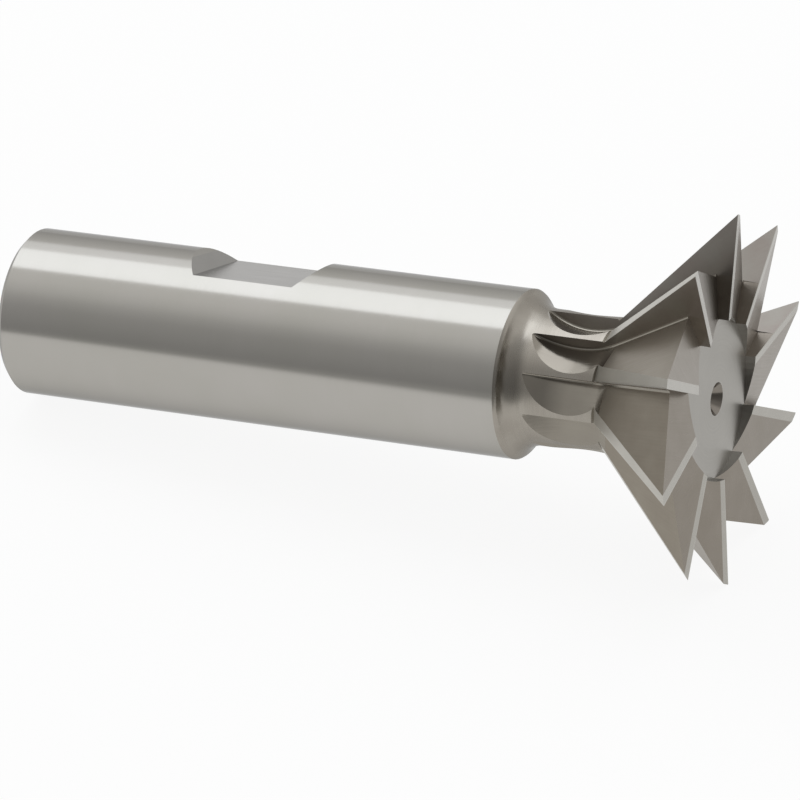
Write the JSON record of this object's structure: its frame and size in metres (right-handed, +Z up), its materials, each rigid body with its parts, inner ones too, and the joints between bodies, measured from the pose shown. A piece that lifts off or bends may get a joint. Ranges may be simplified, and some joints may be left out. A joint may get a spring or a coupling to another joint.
{
  "type": "dovetail cutter",
  "caption": "One-piece dovetail milling cutter: a conical toothed head with a hollow-ground end on a relieved neck and a straight cylindrical shank with a drive flat.",
  "frame": {"origin": "centre of the bounding box at its base, on the ground plane the cutter lies on", "axes": "+X along the cutter towards the head, +Y level across it, +Z up; the cutter lies on its teeth and the shank end, so its axis rises towards the head by about 7 degrees in the XZ plane"},
  "size_m": [0.0738, 0.035, 0.0331],
  "materials": {
    "tool_steel": "ground high speed steel, bright on the shank and the lands, duller in the flutes"
  },
  "bodies": {
    "root": {"dovetail_cutter": "tool_steel"}
  },
  "joints": []
}
